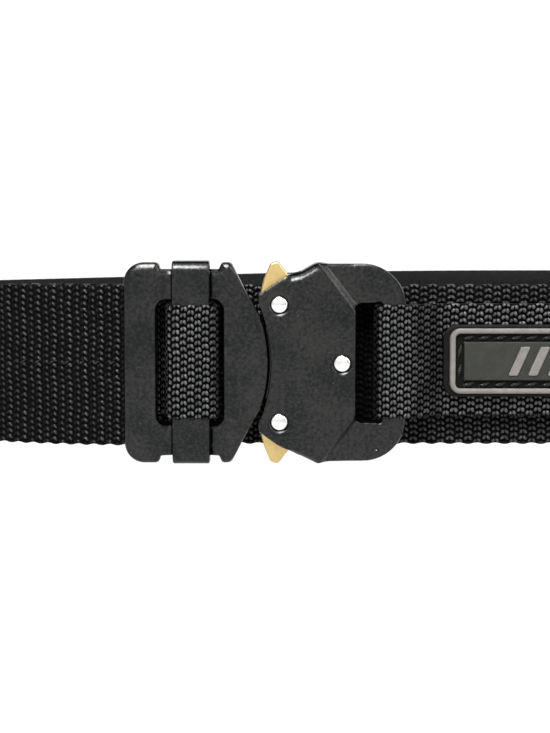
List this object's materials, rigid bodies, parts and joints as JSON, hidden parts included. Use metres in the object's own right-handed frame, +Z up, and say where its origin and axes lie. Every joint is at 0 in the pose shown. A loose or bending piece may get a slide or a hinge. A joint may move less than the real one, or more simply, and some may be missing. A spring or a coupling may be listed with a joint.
{
  "type": "tactical belt",
  "caption": "Closed loop of wide black webbing with a metal quick-release buckle held by narrow straps, and a rubber patch.",
  "frame": {"origin": "on the floor, under the middle of the belt's bounding box, with the belt standing on edge as a closed loop", "axes": "+X to the right as a viewer sees the buckle, which is the wearer's left, +Y from the buckle to the back of the waist, +Z up"},
  "size_m": [0.345, 0.207, 0.0476],
  "materials": {
    "webbing": "coarse black woven webbing",
    "strap_webbing": "tight black woven webbing",
    "black_metal": "satin black anodised, worn at its edges",
    "brass": "satin brass",
    "polished_steel": "polished",
    "dark_rubber": "matte black rubber",
    "olive_rubber": "matte dark olive grey rubber",
    "light_rubber": "matte warm grey rubber"
  },
  "bodies": {
    "belt": {"belt_web": "webbing", "male_strap": "strap_webbing", "female_strap": "strap_webbing", "male_frame": "black_metal", "friction_bar": "black_metal", "female_front_plate": "black_metal", "female_rear_plate": "black_metal", "rivet_upper": "polished_steel", "rivet_middle": "polished_steel", "rivet_lower": "polished_steel", "patch_base": "dark_rubber", "patch_border": "light_rubber", "patch_field": "olive_rubber"},
    "lever_upper": {"release_lever_upper": "brass"},
    "lever_lower": {"release_lever_lower": "brass"}
  },
  "joints": [
    {"name": "lever_upper_pivot", "type": "hinge", "parent": "belt", "child": "lever_upper", "pos_m": [-0.06416, -0.09784, 0.0375], "axis": [0, -1, 0], "range_deg": [0, 14], "stiffness_Nm_per_rad": 0.02, "springref_deg": -5.73},
    {"name": "lever_lower_pivot", "type": "hinge", "parent": "belt", "child": "lever_lower", "pos_m": [-0.06416, -0.09784, 0.0101], "axis": [0, 1, 0], "range_deg": [0, 14], "stiffness_Nm_per_rad": 0.02, "springref_deg": -5.73}
  ]
}
